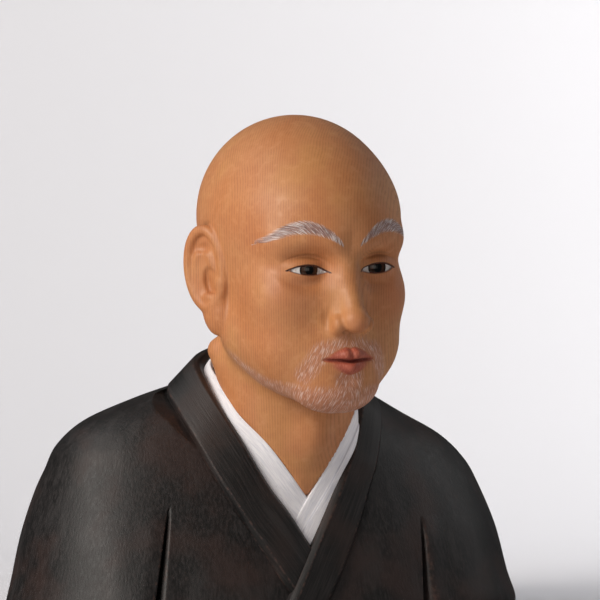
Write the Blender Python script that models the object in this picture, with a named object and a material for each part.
"""Bust of a shaven-headed monk in a crossed robe, carved in cypress at half life size and painted.

The bust is two blocks of wood, as such carvings are made: the head, with its neck and the throat in
the open collar, and the draped body, which has a socket that the neck is set into. Lengths are in
metres, +Z is up, the monk looks along -Y, and the origin is the middle of the flat underside.
"""

import math

import bmesh
import bpy
import numpy as np

# The figure: the head is laid out on a canon of 120 parts from chin to crown, eyes halfway.
HEAD_HEIGHT = 0.1150
PARTS_IN_HEAD = 120
HEAD_NOD = 1.5  # degrees, chin towards the chest
EYE_LEVEL = 0.1441  # height of the eyes above the underside
HEAD_FORWARD = 0.0385  # the ears, forward of the middle of the shoulders

# The robe
SHOULDER_TO_FLOOR = 0.096
ROBE_HALF_WIDTH = 0.1065
CHEST_DEPTH = 0.060
BACK_DEPTH = 0.062
SLEEVE_FOLD_X = 0.0590  # where the sleeve tucks in beside the chest
SLEEVE_FOLD_TOP = 0.049
SLEEVE_FOLD_DEPTH = 0.0065

# The collars
COLLAR_THICKNESS = 0.0038
UNDERCOLLAR_THICKNESS = 0.0016
COLLAR_BEVEL = 0.0024
COLLAR_RISE = 0.0010
COLLAR_RIM = 0.0006
UNDERCOLLAR_BEVEL = 0.0008
UNDERCOLLAR_RISE = 0.0002

# The socket and its fit
NECK_CLEARANCE = 0.0005
THROAT_BOTTOM = 0.0503  # lowest point of the bare throat, above the underside
THROAT_X = -1.7  # where that point is across the chest, in mm
THROAT_SLOPE = 1.35  # rise of the throat's V for each unit out from there

# Fineness of the faceted solids
HEAD_CELL = 0.0018
SOCKET_CELL = 0.0017
ROBE_COLUMNS = 68
ROBE_RINGS = 24
COLLAR_STATIONS = 40

MM = 1000  # fields and outlines work in millimetres
EPSILON = 1e-9
FIELD_STEP = 0.02
SETTLE_ROUNDS = 3
BELOW_FLOOR = 0.008
ORIGIN_SIDE = 0.0020  # brings the middle of the width over the origin
ORIGIN_SHIFT = 0.0144  # brings the middle of the depth over the origin
GRID_SHIFTS = (
    (0, 0, 0), (0.1, 0, 0), (0, 0.3, 0), (0, 0, 0.35), (0.25, 0.15, 0.45), (0.4, 0.2, 0.1),
    (0.3, 0.4, 0.2), (0.15, 0.35, 0.05), (0.45, 0.05, 0.3), (0.2, 0.45, 0.4),
)
HEAD_TRIANGLES = 4700
SOCKET_TRIANGLES = 1400


# Fields: each is negative inside a form, zero on its surface and about its distance outside.


def ellipsoid(p, centre, radii, turn=0.0, roll=0.0):
    """turn is about the vertical and roll about the line of sight, both in degrees."""
    q = p - np.array(centre)
    if turn:
        c, s = math.cos(math.radians(turn)), math.sin(math.radians(turn))
        q = np.stack([q[:, 0] * c + q[:, 1] * s, q[:, 1] * c - q[:, 0] * s, q[:, 2]], axis=1)
    if roll:
        c, s = math.cos(math.radians(roll)), math.sin(math.radians(roll))
        q = np.stack([q[:, 0] * c + q[:, 2] * s, q[:, 1], q[:, 2] * c - q[:, 0] * s], axis=1)
    near = np.linalg.norm(q / np.array(radii), axis=1)
    slope = np.linalg.norm(q / np.square(radii), axis=1)
    return near * (near - 1) / np.maximum(slope, EPSILON)


def rod(p, start, end, start_radius, end_radius):
    """A round rod that tapers between two points."""
    a, b = np.array(start, float), np.array(end, float)
    along = np.clip((p - a) @ (b - a) / ((b - a) @ (b - a)), 0, 1)
    gap = np.linalg.norm(p - a - along[:, None] * (b - a), axis=1)
    return gap - (start_radius + (end_radius - start_radius) * along)


def blend(a, b, soft):
    """Both forms, with a fillet of about this size where they meet."""
    h = np.clip(0.5 + 0.5 * (b - a) / soft, 0, 1)
    return b * (1 - h) + a * h - soft * h * (1 - h)


def carve(a, b, soft):
    """The first form without the second."""
    return -blend(-a, b, soft)


# The head. Its fields work in parts of the canon: across, forward and up from between the ears.


def groove(form, gap, width, depth):
    """A soft cut along a line; gap is each point's distance to that line."""
    return form + depth * np.exp(-((gap / width) ** 2))


def skull(p):
    """Cranium, forehead, cheeks, jaw and chin, without features."""
    form = ellipsoid(p, (0, -6, 18), (39.5, 47.5, 42))
    forehead = ellipsoid(p, (0, 9.5, 19), (33, 33.5, 24))
    face = ellipsoid(p, (0, 8.5, -14), (34.5, 34, 44))
    nape = ellipsoid(p, (0, -13, -18), (29, 24.5, 27))
    jaw = rod(p, (25.5, 3, -30), (9, 31.5, -47.5), 10, 10)
    chin = ellipsoid(p, (0, 33.2, -50), (11.5, 11.3, 9.9))
    cheek = ellipsoid(p, (21.5, 24.5, -12), (11.5, 12, 11), roll=-10)
    lower_cheek = ellipsoid(p, (19, 22, -31), (12, 14, 14))
    form = blend(form, forehead, 12)
    form = blend(form, face, 12)
    form = blend(form, nape, 14)
    form = blend(form, jaw, 12)
    form = blend(form, chin, 8)
    form = blend(form, lower_cheek, 10)
    return blend(form, cheek, 10)


EYE = (16.2, 29.9, -0.4)  # middle of an eyeball
EYE_TURN = -14


def eyes(p, form):
    """The sockets, the lids that fill them and the narrow openings between the lids."""
    brow = rod(p, (7, 37.4, 10.5), (25, 29.5, 11.0), 4.6, 4.2)
    form = blend(form, brow, 9)
    socket = ellipsoid(p, (16.5, 43, 0.3), (11.8, 8.2, 7.8), turn=-12, roll=4)
    form = carve(form, socket, 6)
    lids = ellipsoid(p, EYE, (10.6, 9.2, 7.6), turn=EYE_TURN)
    form = blend(form, lids, 2.6)
    across = (p[:, 0] - 16.6) / 10.6
    fade = np.clip((p[:, 1] - 20) / 5, 0, 1) * np.clip(1 - across**2, 0, 1)
    form = groove(form, p[:, 2] - (5.4 - 3.2 * across**2), 1.0, 0.8 * fade)
    return carve(form, eye_opening(p), 0.3)


def eye_opening(p):
    """The almond between the lids, cut straight back to the eyeball."""
    across = (p[:, 0] - 16.0) / 8.4
    arch = np.clip(1 - across**2, -1, 1)
    middle = -0.7 + 0.05 * (p[:, 0] - 16.0)
    window = np.maximum(p[:, 2] - middle - 2.5 * arch, middle - 1.7 * arch - p[:, 2])
    eyeball = ellipsoid(p, EYE, (9.5, 8.2, 6.7), turn=EYE_TURN)
    return np.maximum(np.maximum(window, -eyeball), 30 - p[:, 1])


def nose(p, form):
    bridge = rod(p, (0, 37.8, 5), (0, 49.0, -19.5), 3.9, 4.5)
    sides = rod(p, (3.0, 36.0, -4), (4.2, 42.5, -21), 3.2, 4.0)
    tip = ellipsoid(p, (0, 50.2, -20.6), (5.4, 5.0, 4.8))
    wing = ellipsoid(p, (6.1, 45.0, -22.2), (3.4, 5.0, 3.9), turn=-14)
    crease = ellipsoid(p, (10.2, 43.6, -20.4), (0.8, 3.0, 3.4), turn=-14)
    nostril = ellipsoid(p, (3.3, 47.6, -26.1), (1.8, 3.2, 1.9), turn=-16)
    form = blend(form, sides, 6)
    form = blend(form, bridge, 5)
    form = blend(form, tip, 2.8)
    form = blend(form, wing, 1.5)
    form = carve(form, crease, 1.8)
    return carve(form, nostril, 0.7)


def mouth(p, form):
    """Closed lips, level and at rest."""
    muzzle = ellipsoid(p, (0, 31.0, -36), (18, 14.2, 13))
    form = blend(form, muzzle, 8)
    upper = rod(p, (2.2, 45.6, -35.0), (11.4, 40.6, -37.0), 2.4, 1.0)
    lower = rod(p, (0, 45.2, -40.0), (9.6, 41.0, -38.6), 3.1, 1.2)
    form = blend(form, upper, 1.0)
    form = blend(form, lower, 1.2)
    philtrum = rod(p, (0, 48.3, -27.0), (0, 49.2, -32.4), 1.0, 1.4)
    form = carve(form, philtrum, 1.8)
    under_lip = ellipsoid(p, (0, 49.8, -45.3), (8, 4.4, 2.4))
    form = carve(form, under_lip, 3.4)
    across = p[:, 0] / 12.4
    parting = -37.3 - 0.6 * np.exp(-((p[:, 0] / 2.6) ** 2)) + 0.2 * across**2
    fade = np.clip((p[:, 1] - 30) / 5, 0, 1) * np.clip(1.3 - 1.3 * across**4, 0, 1)
    return groove(form, p[:, 2] - parting, 0.75, 1.3 * fade)


def ear(p, form):
    """A long ear, standing out behind: helix, antihelix, bowl, tragus and heavy lobe."""
    lean, flare = math.radians(8), math.radians(27)
    q = p - np.array((39.4, -6.5, -5.5))
    out = q[:, 0] * math.cos(flare) + q[:, 1] * math.sin(flare)
    back = q[:, 0] * math.sin(flare) - q[:, 1] * math.cos(flare)
    back, up = (
        back * math.cos(lean) - q[:, 2] * math.sin(lean),
        back * math.sin(lean) + q[:, 2] * math.cos(lean),
    )
    local = np.stack([back, out, up], axis=1)
    flat = np.stack([back, np.zeros_like(back), up], axis=1)
    plate = ellipsoid(local, (0.5, 0, 2), (9.8, 2.4, 16.5))
    lobe = ellipsoid(local, (-2.4, 0.1, -16.5), (6.4, 3.9, 8.8))
    rim = np.hypot(ellipsoid(flat, (0.3, 0, 3.0), (8.8, 1, 16.0)), out - 1.5) - 2.2
    inner = np.hypot(ellipsoid(flat, (1.2, 0, 0.5), (4.6, 1, 9.8)), out - 1.3) - 1.5
    shell = blend(plate, lobe, 4)
    shell = blend(shell, rim, 1.4)
    shell = blend(shell, inner, 1.2)
    shell = carve(shell, ellipsoid(local, (-1.6, 3.2, -2.4), (3.7, 4.4, 6.0)), 1.2)
    shell = carve(shell, ellipsoid(local, (0.2, 3.2, 11.6), (4.6, 2.4, 2.4)), 1.2)
    shell = blend(shell, ellipsoid(local, (-6.2, 1.4, -3.6), (2.4, 2.4, 3.4)), 1.4)
    shell = blend(shell, ellipsoid(local, (-0.8, 1.9, -9.2), (3.4, 1.7, 1.7)), 1.2)
    root = ellipsoid(local, (-3.6, -4.0, 0), (5.5, 5.5, 13.0))
    return blend(blend(form, root, 4), shell, 1.6)


def head_field(p):
    """The head without its neck, in parts."""
    p = np.stack([np.abs(p[:, 0]), p[:, 1], p[:, 2]], axis=1)
    form = skull(p)
    form = eyes(p, form)
    form = nose(p, form)
    form = mouth(p, form)
    return ear(p, form)


def neck_field(p):
    """The neck and the bare throat, cut below to the V of the collar; p is in mm."""
    q = np.stack([0.9 * np.abs(p[:, 0]), p[:, 1], p[:, 2]], axis=1)
    form = rod(q, (0, 19, 46), (0, 28.5, 100), 25.5, 25)
    cord = rod(q, (22, 16, 108), (4, 40.5, 56), 5, 3.8)
    throat = ellipsoid(q, (0, 46.5, 75), (6, 6, 9))
    form = blend(form, cord, 7)
    form = blend(form, throat, 7)
    out = np.abs(p[:, 0] - THROAT_X)
    opening = (MM * THROAT_BOTTOM + THROAT_SLOPE * out - p[:, 2]) / math.hypot(1, THROAT_SLOPE)
    return np.maximum(form, opening)


def figure_field(p):
    """The whole head piece; p is in mm, across, forward and up from the underside."""
    unit = MM * HEAD_HEIGHT / PARTS_IN_HEAD
    q = (p - MM * np.array((0, HEAD_FORWARD, EYE_LEVEL))) / unit
    c, s = math.cos(math.radians(HEAD_NOD)), math.sin(math.radians(HEAD_NOD))
    q = np.stack([q[:, 0], q[:, 1] * c - q[:, 2] * s, q[:, 2] * c + q[:, 1] * s], axis=1)
    return blend(unit * head_field(q), neck_field(p), 5)


def in_face_or_ear(x, f, z):
    face = abs(x) < 31 and f > 60 and 84 < z < 160
    return face or (abs(x) > 34 and 10 < f < 46 and 104 < z < 166)


def socket_field(p):
    """The room the neck needs in the body."""
    return np.maximum(figure_field(p) - MM * NECK_CLEARANCE, p[:, 2] - 114)


# From a field to a mesh


def net(field, low, high, cell):
    """Points and quads of the field's surface, one point to a grid cell that it passes through."""
    axes = [np.arange(a, b + cell, cell) for a, b in zip(low, high)]
    size = [len(axis) for axis in axes]
    grid = np.stack(np.meshgrid(*axes, indexing="ij"), axis=-1)
    values = field(grid.reshape(-1, 3)).reshape(size)
    inside = (values < 0).astype(int)
    corners = sum(
        inside[i : size[0] - 1 + i, j : size[1] - 1 + j, k : size[2] - 1 + k]
        for i in (0, 1)
        for j in (0, 1)
        for k in (0, 1)
    )
    crossed = (corners > 0) & (corners < 8)
    index = np.full(crossed.shape, -1)
    index[crossed] = np.arange(crossed.sum())
    total, hits, quads = np.zeros((crossed.sum(), 3)), np.zeros(crossed.sum()), []
    for axis in range(3):
        step = np.eye(3, dtype=int)[axis]
        near = np.take(values, np.arange(size[axis] - 1), axis=axis)
        far = np.take(values, np.arange(1, size[axis]), axis=axis)
        edge = np.argwhere((near < 0) != (far < 0))
        u, w = (axis + 1) % 3, (axis + 2) % 3
        edge = edge[(edge[:, u] > 0) & (edge[:, w] > 0)]
        start, end = near[tuple(edge.T)], far[tuple(edge.T)]
        point = np.array(low) + cell * (edge + (start / (start - end))[:, None] * step)
        ring = []
        for du, dw in ((1, 1), (0, 1), (0, 0), (1, 0)):
            cell_at = edge.copy()
            cell_at[:, u] -= du
            cell_at[:, w] -= dw
            owner = index[tuple(cell_at.T)]
            np.add.at(total, owner, point)
            np.add.at(hits, owner, 1)
            ring.append(owner)
        ring = np.stack(ring, axis=1)
        ring[end < 0] = ring[end < 0][:, ::-1]
        quads.append(ring)
    return total / hits[:, None], np.concatenate(quads)


def settle(p, field, reach):
    """Moves each point onto the field's surface, no further than reach at a time."""
    for _ in range(SETTLE_ROUNDS):
        value = field(p)
        slope = np.stack(
            [
                (field(p + FIELD_STEP * axis) - field(p - FIELD_STEP * axis)) / (2 * FIELD_STEP)
                for axis in np.eye(3)
            ],
            axis=1,
        )
        step = value / np.maximum((slope**2).sum(axis=1), 0.05)
        p = p - np.clip(step, -reach, reach)[:, None] * slope
    return p


def clean_net(field, low, high, cell):
    """The net from the first grid on which no two sheets of the surface share an edge."""
    for shift in GRID_SHIFTS:
        points, quads = net(field, np.array(low) - np.array(shift) * cell, high, cell)
        edges = np.sort(np.concatenate([quads[:, [i, (i + 1) % 4]] for i in range(4)]), axis=1)
        if (np.unique(edges, axis=0, return_counts=True)[1] == 2).all():
            return points, quads
    raise ValueError("every grid leaves a shared edge: change the cell's size")


def from_field(name, field, low, high, cell):
    points, quads = clean_net(field, low, high, cell)
    return mesh_object(name, settle(points, field, 0.5 * cell), quads)


def refine(obj, inside, field, reach):
    """Halves the faces in a zone and settles their points on the field again."""
    mesh = bmesh.new()
    mesh.from_mesh(obj.data)
    chosen = [face for face in mesh.faces if inside(*model_point(face.calc_center_median()))]
    edges = list({edge for face in chosen for edge in face.edges})
    bmesh.ops.subdivide_edges(mesh, edges=edges, cuts=1, use_grid_fill=True)
    moved = [vertex for vertex in mesh.verts if inside(*model_point(vertex.co))]
    points = settle(np.array([model_point(vertex.co) for vertex in moved]), field, reach)
    for vertex, point in zip(moved, place(points)):
        vertex.co = point
    mesh.to_mesh(obj.data)
    mesh.free()


def thin_out(obj, triangles):
    """Leaves about this many triangles, most of them where the surface bends most."""
    now = sum(len(face.vertices) - 2 for face in obj.data.polygons)
    step = obj.modifiers.new("fewer triangles", "DECIMATE")
    step.ratio = triangles / now
    step.use_collapse_triangulate = True


def place(points):
    """From mm across, forward and up to the part's own metres."""
    return np.array(points, float) / MM * (1, -1, 1) + (-ORIGIN_SIDE, ORIGIN_SHIFT, 0)


def model_point(co):
    """The way back from a vertex to mm across, forward and up."""
    return MM * (co.x + ORIGIN_SIDE), MM * (ORIGIN_SHIFT - co.y), MM * co.z


def mesh_object(name, points, faces):
    """An object from points in mm: across, forward and up."""
    mesh = bpy.data.meshes.new(name)
    mesh.from_pydata(place(points).tolist(), [], [list(face)[::-1] for face in faces])
    mesh.update()
    obj = bpy.data.objects.new(name, mesh)
    bpy.context.scene.collection.objects.link(obj)
    return obj


# The robe


def curve(points, count):
    """A smooth curve through the points."""
    p = np.array(points, float)
    p = np.concatenate([[2 * p[0] - p[1]], p, [2 * p[-1] - p[-2]]])
    t = np.linspace(0, len(points) - 1, count)
    i = np.minimum(t.astype(int), len(points) - 2)
    u = (t - i)[:, None]
    a, b, c, d = p[i], p[i + 1], p[i + 2], p[i + 3]
    bend = (2 * a - 5 * b + 4 * c - d) * u**2 + (3 * b - a - 3 * c + d) * u**3
    return b + 0.5 * ((c - a) * u + bend)


def loft(name, rings):
    """A closed skin over rings of points, from the lowest up."""
    count, columns = len(rings), len(rings[0])
    faces = [tuple(range(columns))[::-1]]
    faces.append(tuple(range((count - 1) * columns, count * columns)))
    for i in range(count - 1):
        for j in range(columns):
            k = (j + 1) % columns
            faces.append(
                (i * columns + j, i * columns + k, (i + 1) * columns + k, (i + 1) * columns + j)
            )
    return mesh_object(name, np.concatenate(rings), faces)


# Guide points, in mm: across to the monk's left, forward, and up from the underside. Each band runs
# from its lower end on the monk's right, round the nape, to its lower end on the monk's left.
COLLAR_INNER = (
    (4, 55.4, 22), (-3.5, 52.4, 33), (-10.8, 49.6, 45), (-18.2, 46, 56), (-26.5, 39.8, 73),
    (-32.3, 29.5, 88), (-33.5, 18, 98), (-30, 6.5, 104.5), (-17, -1.5, 108.5), (0, -3.5, 110),
    (16, -1, 108.5), (28, 7, 104.5), (32.5, 20, 96.5), (28.2, 33, 87), (20.6, 41, 70),
    (15.5, 44.5, 61.8), (7, 49.5, 48), (-3, 54.4, 32.4), (-15.3, 61.3, 13.6), (-23.5, 63.6, 1),
    (-29, 63.5, -8),
)
COLLAR_OUTER = (
    (-8, 60.2, 4), (-15.6, 59, 14.4), (-22.5, 54.3, 27), (-29.2, 49.8, 38.9), (-37.5, 43.5, 54),
    (-43.5, 34, 70), (-45.5, 21.5, 81.5), (-43.5, 5, 90.5), (-28, -11.5, 92), (0, -15, 92),
    (26, -11, 92.5), (39, 5, 92.5), (42.5, 20, 85), (40.5, 30, 78), (34, 39.5, 62.5),
    (29.5, 43.5, 55), (20.5, 50.2, 38.5), (10.5, 56.3, 22.5), (-1, 61.4, 5), (-9, 62.6, -6),
    (-16, 62.6, -14),
)
UNDERCOLLAR_INNER = (
    (4, 47.5, 42.5), (-1.7, 46.4, 50.3), (-9.3, 46.2, 60.5), (-17.8, 43.6, 72), (-26.4, 34.5, 84),
    (-30, 22.3, 94.5), (-27.7, 9.2, 102.3), (-16, 0.5, 106.4), (0, -2.2, 107.8), (16, 0.5, 106.4),
    (27.7, 9.2, 102.3), (30, 22.3, 93.5), (26.5, 35, 85), (16.6, 44.6, 75), (6.2, 47.2, 61),
    (-1.7, 47.8, 50.3), (-7, 49, 43), (-13, 50.6, 34),
)
UNDERCOLLAR_OUTER = (
    (-3, 50, 33.5), (-10, 48, 42.5), (-18, 44, 53), (-27, 38, 65), (-35, 29.5, 79),
    (-38, 17, 87), (-36, 5.5, 92.5), (-22, -8.5, 94), (0, -12.8, 94.5), (22, -8.5, 94),
    (36, 5.5, 92.5), (38, 17, 87), (34.5, 30, 79), (27, 39, 67), (17, 45, 52.5),
    (8, 49.5, 41.5), (2, 51.2, 35), (-4, 53, 26),
)
# The dark fold beside each sleeve: its top, its foot and its spread to the right and left
SLEEVE_FOLDS = (
    ((-58, 38.1, 47.5), (-73.1, 54.8, -8), 2.2, 2.2),
    ((50.5, 45.1, 40), (44.9, 61, -8), 1.6, 7),
)


def robe_rings():
    """Outlines of the shoulders and chest from below the underside to the neck, in mm."""
    deep, wide = MM * CHEST_DEPTH, MM * ROBE_HALF_WIDTH
    back, top = MM * BACK_DEPTH, MM * SHOULDER_TO_FLOOR
    # height, half width, front, back, squareness, lean to the left
    profile = (
        (-MM * BELOW_FLOOR, wide + 0.5, deep + 1, back, 2.5, 2),
        (6, wide, deep, back, 2.5, 2),
        (0.16 * top, wide - 2.8, deep - 2.5, back, 2.5, 2),
        (0.35 * top, wide - 6.5, deep - 8, back - 2, 2.4, 2.4),
        (0.52 * top, wide - 12, deep - 14, back - 6, 2.3, 2),
        (0.625 * top, wide - 16.5, deep - 18, back - 11, 2.2, 1),
        (0.73 * top, wide - 24, deep - 22.5, back - 18, 2.15, -2.5),
        (0.83 * top, wide - 38, deep - 27.5, back - 28, 2.1, -6.5),
        (0.915 * top, wide - 55, deep - 31, back - 39, 2.1, -5),
        (0.975 * top, wide - 69, deep - 34, back - 50, 2.1, -3),
        (top, wide - 78, deep - 36, back - 55, 2.1, -2),
    )
    angle = np.linspace(0, 2 * math.pi, ROBE_COLUMNS, endpoint=False)
    cosine, sine = np.cos(angle), np.sin(angle)
    rings = []
    for height, half, front, rear, square, lean in curve(profile, ROBE_RINGS):
        middle, depth = (front - rear) / 2, (front + rear) / 2
        x = lean + half * np.sign(cosine) * np.abs(cosine) ** (2 / square)
        f = middle + depth * np.sign(sine) * np.abs(sine) ** (2 / square)
        f = f + sleeve_swell(x, height) * np.clip(sine * 3, -0.6, 1)
        rings.append(np.stack([x, f, np.full_like(x, height)], axis=1))
    return rings


def sleeve_swell(x, height):
    """How far the cloth stands out over the arms and falls in beside them."""
    lower = np.clip(1 - height / (MM * SLEEVE_FOLD_TOP + 12), 0, 1)
    tuck = np.exp(-(((np.abs(x) - MM * SLEEVE_FOLD_X) / 8) ** 2))
    arm = np.exp(-(((np.abs(x) - MM * SLEEVE_FOLD_X - 19) / 13) ** 2))
    return lower * (1.8 * arm - 1.6 * tuck)


def band(name, inner, outer, depth, bevel, rise, rim):
    """A collar between two edges: raised flat, bevelled down to its rims, this depth behind."""
    a, b = curve(inner, COLLAR_STATIONS), curve(outer, COLLAR_STATIONS)
    along = np.gradient((a + b) / 2, axis=0)
    face = np.cross(b - a, along)
    face /= np.linalg.norm(face, axis=1)[:, None]
    across = (b - a) / np.linalg.norm(b - a, axis=1)[:, None]
    depth = np.interp(np.linspace(0, 1, COLLAR_STATIONS), *depth)[:, None]
    across, rise, rim = MM * bevel * across, MM * rise * face, MM * rim * face
    edges = (a - rim, a + across + rise, b - across + rise, b - rim)
    return loft(name, np.stack([*edges, b - depth * face, a - depth * face], axis=1))


def blade(name, top, foot, depth, right, left):
    """A tapering fin that cuts a fold's groove; it spreads this far to each side of its edge."""
    rings = []
    for share in np.linspace(0, 1, 9):
        x, f, z = (1 - share) * np.array(foot, float) + share * np.array(top, float)
        size = (1 - share**3) + 0.02
        rings.append(
            [
                (x - right * size, f + 4, z),
                (x, f - depth * size, z),
                (x + left * size, f + 4, z),
            ]
        )
    return loft(name, np.array(rings))


def box(name, low, high):
    x, f, z = np.array([low, high], float).T
    corners = [(x[i], f[j]) for i, j in ((0, 0), (1, 0), (1, 1), (0, 1))]
    return loft(name, np.array([[(*corner, height) for corner in corners] for height in z]))


def combine(target, name, helpers, operation):
    """Adds the helpers to the target, or takes them away, all in one exact step."""
    group = bpy.data.collections.new(name)
    bpy.context.scene.collection.children.link(group)
    for helper in helpers:
        bpy.context.scene.collection.objects.unlink(helper)
        group.objects.link(helper)
        helper.hide_render = True
        helper.display_type = "WIRE"
    step = target.modifiers.new(name, "BOOLEAN")
    step.operation = operation
    step.solver = "EXACT"
    step.use_self = True
    step.operand_type = "COLLECTION"
    step.collection = group


def material(name, colour, roughness):
    made = bpy.data.materials.new(name)
    made.use_nodes = True
    surface = made.node_tree.nodes["Principled BSDF"]
    surface.inputs["Base Color"].default_value = (*colour, 1)
    surface.inputs["Roughness"].default_value = roughness
    return made


for leftover in list(bpy.data.objects):
    bpy.data.objects.remove(leftover)

# Head
unit = MM * HEAD_HEIGHT / PARTS_IN_HEAD
middle = np.array((0, MM * HEAD_FORWARD, MM * EYE_LEVEL))
low, high = middle - unit * np.array((54, 66, 0)), middle + unit * np.array((54, 66, 70))
low[2] = MM * THROAT_BOTTOM - 6
head = from_field("head", figure_field, low, high, MM * HEAD_CELL)
refine(head, in_face_or_ear, figure_field, 0.3 * MM * HEAD_CELL)
thin_out(head, HEAD_TRIANGLES)
head.data.materials.append(material("painted skin", (0.50, 0.24, 0.11), 0.45))

# Body: the robe, its two collars and the folds beside the sleeves
body = loft("body", robe_rings())
body.data.materials.append(material("painted robe", (0.02, 0.018, 0.018), 0.4))
wall = MM * COLLAR_THICKNESS
collar_depth = ((0, 0.15, 0.28, 0.36, 0.58, 0.64, 0.8, 1), (6, 9, 9, wall, wall, 9, 7, 6))
collar_form = (collar_depth, COLLAR_BEVEL, COLLAR_RISE, COLLAR_RIM)
collar = band("collar", COLLAR_INNER, COLLAR_OUTER, *collar_form)
lining = MM * UNDERCOLLAR_THICKNESS
undercollar_depth = (
    (0, 0.12, 0.18, 0.27, 0.34, 0.6, 0.68, 0.78, 0.86, 1),
    (6, 8, 12, 10, lining, lining, 10, 13, 9, 6),
)
undercollar_form = (undercollar_depth, UNDERCOLLAR_BEVEL, UNDERCOLLAR_RISE, 0)
undercollar = band("undercollar", UNDERCOLLAR_INNER, UNDERCOLLAR_OUTER, *undercollar_form)
undercollar.data.materials.append(material("painted under-collar", (0.75, 0.76, 0.8), 0.6))
combine(body, "collars", [collar, undercollar], "UNION")
folds = [
    blade(f"{side} sleeve fold", top, foot, MM * SLEEVE_FOLD_DEPTH, *spread)
    for side, (top, foot, *spread) in zip(("right", "left"), SLEEVE_FOLDS)
]

# The opening over the throat, the neck's socket and the flat underside
drop = MM * NECK_CLEARANCE * math.hypot(1, THROAT_SLOPE)
tip, reach = MM * THROAT_BOTTOM - drop, 34
vee = [(THROAT_X, tip), (THROAT_X + reach, tip + THROAT_SLOPE * reach)]
vee.append((THROAT_X - reach, tip + THROAT_SLOPE * reach))
opening = loft("throat opening", [[(x, f, z) for x, z in vee] for f in (80, 4)])
socket = from_field("neck socket", socket_field, low, high, MM * SOCKET_CELL)
thin_out(socket, SOCKET_TRIANGLES)
floor = box("floor", (-150, -100, -40), (150, 100, 0))
combine(body, "cut away", [*folds, opening, socket, floor], "DIFFERENCE")
